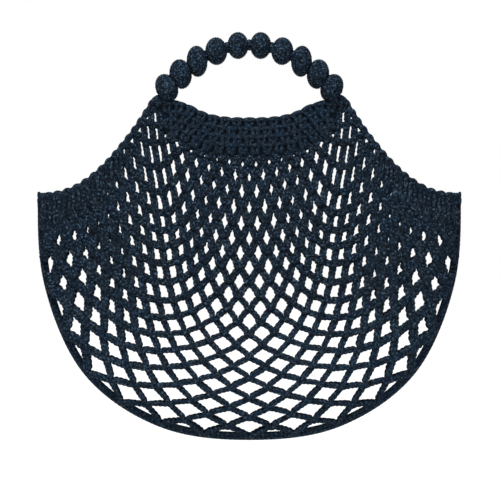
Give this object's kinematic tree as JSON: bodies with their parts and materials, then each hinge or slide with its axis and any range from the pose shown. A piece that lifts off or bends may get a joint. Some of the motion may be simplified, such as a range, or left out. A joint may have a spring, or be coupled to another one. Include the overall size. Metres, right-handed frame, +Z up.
{
  "type": "string shopping bag",
  "caption": "Crocheted string shopping bag: an open diamond net hung from stitched bands, with arched handles of crochet-covered balls.",
  "frame": {"origin": "where the hand holds the bag: midway between the two handles, level with the underside of their middle balls", "axes": "+X to the right along the bag's width, -Y out of its front, +Z up"},
  "size_m": [0.422, 0.0658, 0.406],
  "materials": {
    "net_cord": "matt navy crocheted cotton cord",
    "band_stitch": "dense navy crochet stitches",
    "edge_chain": "navy chain-stitched cord",
    "ball_cover": "fine tight navy crochet cover"
  },
  "bodies": {
    "root": {"front_net_lower_left": "net_cord", "front_net_lower_right": "net_cord", "front_net_upper_left": "net_cord", "front_net_upper_right": "net_cord", "back_net_lower_left": "net_cord", "back_net_lower_right": "net_cord", "back_net_upper_left": "net_cord", "back_net_upper_right": "net_cord", "fold_cord": "net_cord", "front_band": "band_stitch", "back_band": "band_stitch", "front_handle_cord": "ball_cover", "back_handle_cord": "ball_cover", "front_left_edge_cord": "edge_chain", "front_right_edge_cord": "edge_chain", "back_left_edge_cord": "edge_chain", "back_right_edge_cord": "edge_chain", "front_ball_01": "ball_cover", "front_ball_02": "ball_cover", "front_ball_03": "ball_cover", "front_ball_04": "ball_cover", "front_ball_05": "ball_cover", "front_ball_06": "ball_cover", "front_ball_07": "ball_cover", "front_ball_08": "ball_cover", "front_ball_09": "ball_cover", "front_ball_10": "ball_cover", "back_ball_01": "ball_cover", "back_ball_02": "ball_cover", "back_ball_03": "ball_cover", "back_ball_04": "ball_cover", "back_ball_05": "ball_cover", "back_ball_06": "ball_cover", "back_ball_07": "ball_cover", "back_ball_08": "ball_cover", "back_ball_09": "ball_cover", "back_ball_10": "ball_cover"}
  },
  "joints": []
}
